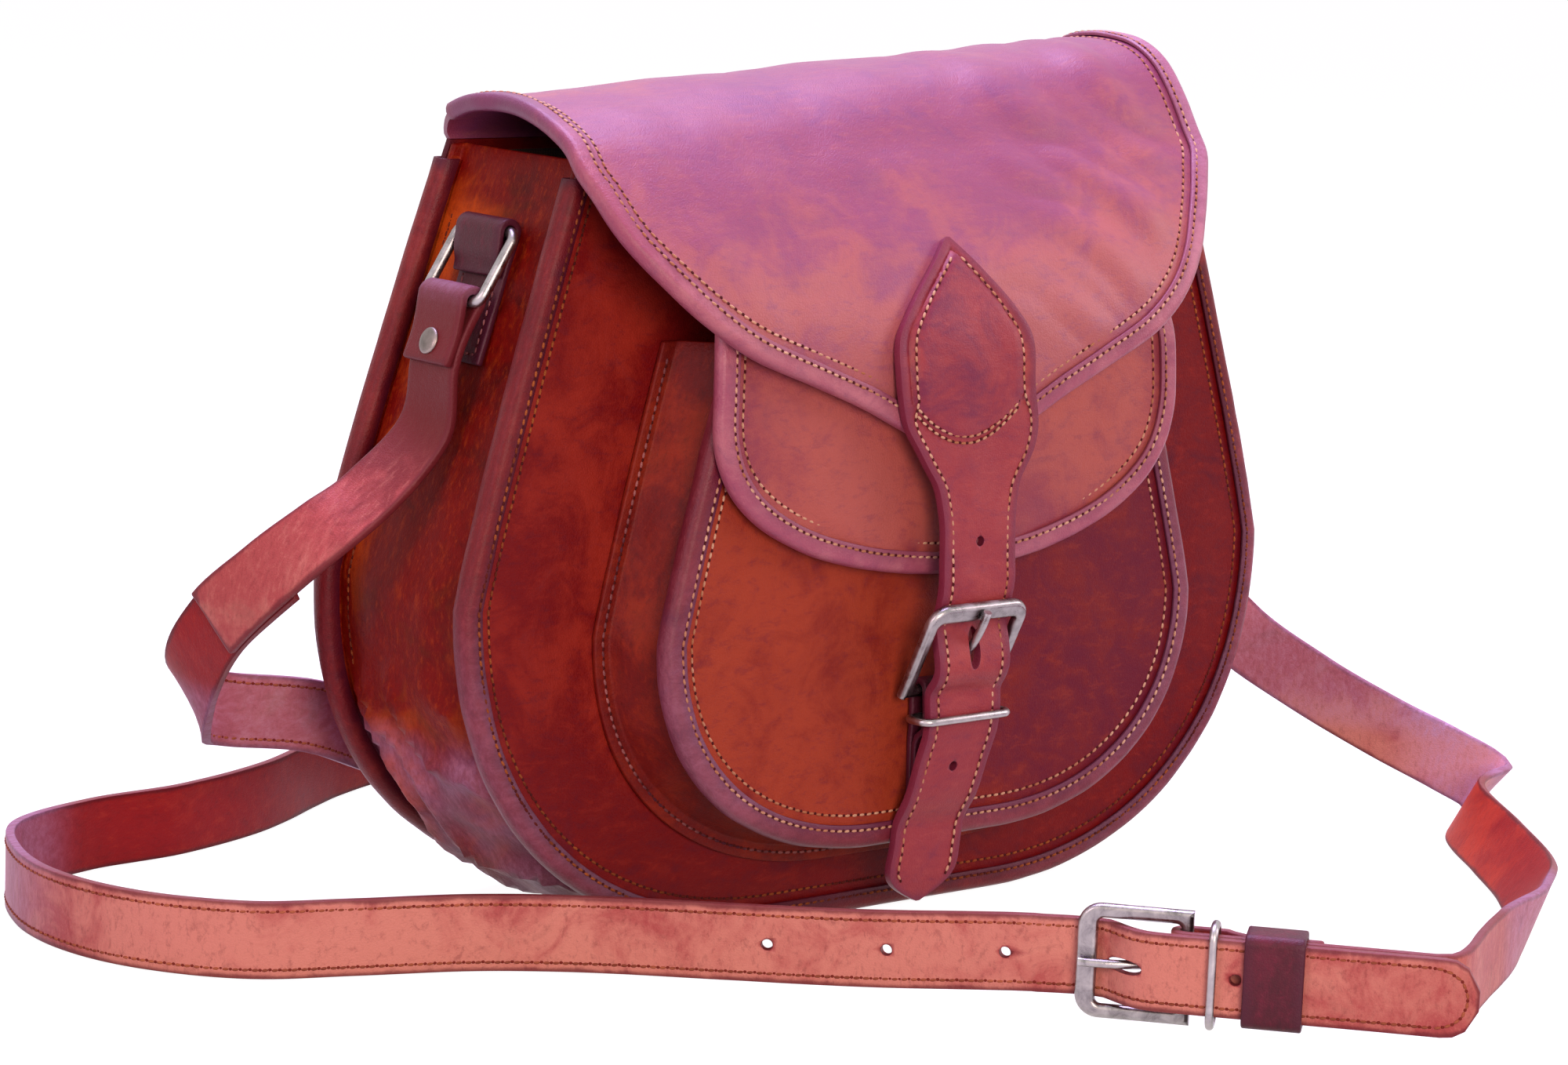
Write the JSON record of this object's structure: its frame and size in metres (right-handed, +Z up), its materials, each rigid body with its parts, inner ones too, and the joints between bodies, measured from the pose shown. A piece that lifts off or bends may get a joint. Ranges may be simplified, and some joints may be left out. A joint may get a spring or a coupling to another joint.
{
  "type": "leather sling bag",
  "caption": "Round-bottomed leather shoulder bag with a curved flap, a front pocket, a strap-and-buckle closure and an adjustable buckled shoulder strap.",
  "frame": {"origin": "on the floor under the middle of the bag's base, on the gusset's flat underside", "axes": "+Z up, the front with the pocket and the buckle faces -Y, +X to the right of the front seen from behind it"},
  "size_m": [0.4375, 0.3818, 0.2259],
  "materials": {
    "panel leather": "oil-pulled, waxed and edge-burnished",
    "gusset leather": "oil-pulled, waxed and edge-burnished",
    "pocket leather": "oil-pulled, waxed and edge-burnished",
    "flap leather": "oil-pulled, waxed and edge-burnished",
    "binding leather": "oil-pulled, waxed and edge-burnished",
    "dark tab leather": "oil-pulled, waxed and edge-burnished",
    "strap leather": "oil-pulled, waxed and edge-burnished",
    "lining cloth": "plain woven cotton",
    "satin nickel": "antiqued satin nickel plate"
  },
  "bodies": {
    "bag": {"back_binding": "binding leather", "back_panel": "panel leather", "billet_strap": "strap leather", "buckle_strap": "strap leather", "closure_chape": "dark tab leather", "closure_wire_keeper": "satin nickel", "front_binding": "binding leather", "front_panel": "panel leather", "gusset": "gusset leather", "left_strap_end": "strap leather", "left_strap_rivet": "satin nickel", "left_tab": "dark tab leather", "lining": "lining cloth", "pocket_binding": "binding leather", "pocket_front": "pocket leather", "pocket_gusset": "pocket leather", "right_strap_rivet": "satin nickel", "right_tab": "dark tab leather", "strap_wire_keeper": "satin nickel"},
    "flap": {"flap": "flap leather", "flap_binding": "binding leather", "closure_strap": "flap leather"},
    "pocket_flap": {"pocket_flap": "flap leather", "pocket_flap_binding": "binding leather"},
    "closure_buckle": {"closure_buckle_frame": "satin nickel"},
    "closure_prong": {"closure_buckle_prong": "satin nickel"},
    "strap_buckle": {"strap_buckle_frame": "satin nickel"},
    "strap_prong": {"strap_buckle_prong": "satin nickel"},
    "strap_keeper": {"strap_leather_keeper": "dark tab leather"},
    "left_ring": {"left_ring": "satin nickel"},
    "right_ring": {"right_ring": "satin nickel"}
  },
  "joints": [
    {"name": "flap_lift", "type": "hinge", "parent": "bag", "child": "flap", "pos_m": [0, 0.031, 0.2074], "axis": [-1, 0, 0], "range_deg": [0, 130], "deforming": ["closure_strap"]},
    {"name": "pocket_flap_lift", "type": "hinge", "parent": "bag", "child": "pocket_flap", "pos_m": [0, -0.03234, 0.17628], "axis": [-1, 0, 0], "range_deg": [0, 54.6]},
    {"name": "closure_buckle_swing", "type": "hinge", "parent": "bag", "child": "closure_buckle", "pos_m": [0, -0.06216, 0.06673], "axis": [1, 0, 0], "range_deg": [-20, 50]},
    {"name": "closure_prong_swing", "type": "hinge", "parent": "closure_buckle", "child": "closure_prong", "pos_m": [0, -0.06216, 0.06673], "axis": [1, 0, 0], "range_deg": [0, 30]},
    {"name": "strap_buckle_swing", "type": "hinge", "parent": "bag", "child": "strap_buckle", "pos_m": [-0.0077, -0.16604, 0.0153], "axis": [0, 0, 1], "range_deg": [0, 3]},
    {"name": "strap_prong_swing", "type": "hinge", "parent": "strap_buckle", "child": "strap_prong", "pos_m": [-0.0077, -0.16604, 0.0153], "axis": [0, 0, 1], "range_deg": [0, 3]},
    {"name": "strap_keeper_slide", "type": "slide", "parent": "bag", "child": "strap_keeper", "axis": [0.6485, -0.7612, 0], "range_m": [0, 0.03]},
    {"name": "left_ring_swing", "type": "hinge", "parent": "bag", "child": "left_ring", "pos_m": [-0.11058, 0, 0.187], "axis": [0, 1, 0], "range_deg": [-10, 10], "deforming": ["left_strap_end"]},
    {"name": "right_ring_swing", "type": "hinge", "parent": "bag", "child": "right_ring", "pos_m": [0.11058, 0, 0.187], "axis": [0, -1, 0], "range_deg": [-10, 10], "deforming": ["buckle_strap"]}
  ],
  "couplings": [
    {"joint": "pocket_flap_lift", "follows": "flap_lift", "ratio": 0.42}
  ]
}
